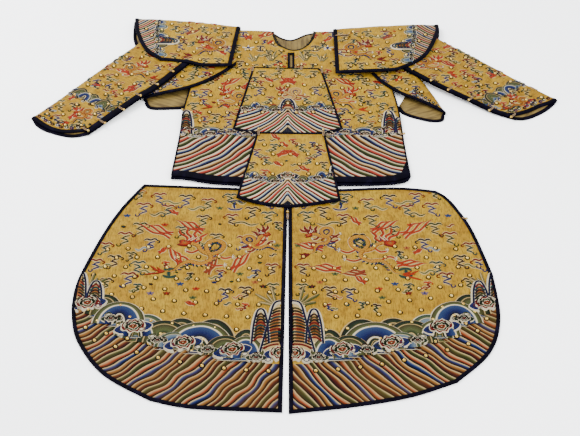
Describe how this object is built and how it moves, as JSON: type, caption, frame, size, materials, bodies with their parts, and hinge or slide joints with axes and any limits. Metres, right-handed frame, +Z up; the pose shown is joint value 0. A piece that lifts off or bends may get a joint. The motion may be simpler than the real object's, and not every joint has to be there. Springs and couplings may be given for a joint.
{
  "type": "silk ceremonial armour laid out flat",
  "caption": "Padded yellow silk ceremonial armour with gilt studs, laid flat: jacket, sleeves, shoulder and underarm guards, flaps and a two-panel skirt.",
  "frame": {"origin": "on the floor, under the middle of the laid-out armour", "axes": "+Z up from the floor, +Y towards the neck, +X towards the right sleeve as seen from above with the neck away"},
  "size_m": [1.6879, 1.6532, 0.0386],
  "materials": {
    "gold_silk": "padded yellow silk satin with couched embroidery and gilt studs",
    "dark_satin": "blue-black satin binding",
    "tan_cord": "tan silk loop with a small gilt button"
  },
  "bodies": {
    "root": {"front_flap": "gold_silk", "front_flap_binding": "dark_satin", "front_flap_loop_1": "tan_cord", "front_flap_loop_2": "tan_cord", "front_flap_loop_3": "tan_cord", "front_flap_loop_4": "tan_cord", "jacket_back": "gold_silk", "jacket_back_binding": "dark_satin", "jacket_front": "gold_silk", "jacket_front_binding": "dark_satin", "jacket_toggle_left": "tan_cord", "jacket_toggle_right": "tan_cord", "lower_flap": "gold_silk", "lower_flap_binding": "dark_satin", "lower_flap_loop_1": "tan_cord", "lower_flap_loop_2": "tan_cord", "neck_binding": "dark_satin", "shoulder_guard_left": "gold_silk", "shoulder_guard_left_binding": "dark_satin", "shoulder_guard_right": "gold_silk", "shoulder_guard_right_binding": "dark_satin", "shoulder_guard_tie": "tan_cord", "skirt_left": "gold_silk", "skirt_left_binding": "dark_satin", "skirt_right": "gold_silk", "skirt_right_binding": "dark_satin", "skirt_tie": "tan_cord", "skirt_toggle": "tan_cord", "sleeve_left": "gold_silk", "sleeve_left_binding": "dark_satin", "sleeve_left_loop_1": "tan_cord", "sleeve_left_loop_2": "tan_cord", "sleeve_left_loop_3": "tan_cord", "sleeve_left_loop_4": "tan_cord", "sleeve_left_loop_5": "tan_cord", "sleeve_left_loop_6": "tan_cord", "sleeve_right": "gold_silk", "sleeve_right_binding": "dark_satin", "sleeve_right_loop_1": "tan_cord", "sleeve_right_loop_2": "tan_cord", "sleeve_right_loop_3": "tan_cord", "sleeve_right_loop_4": "tan_cord", "sleeve_right_loop_5": "tan_cord", "sleeve_right_loop_6": "tan_cord", "slit_binding": "dark_satin", "underarm_guard_left": "gold_silk", "underarm_guard_left_binding": "dark_satin", "underarm_guard_right": "gold_silk", "underarm_guard_right_binding": "dark_satin"}
  },
  "joints": []
}
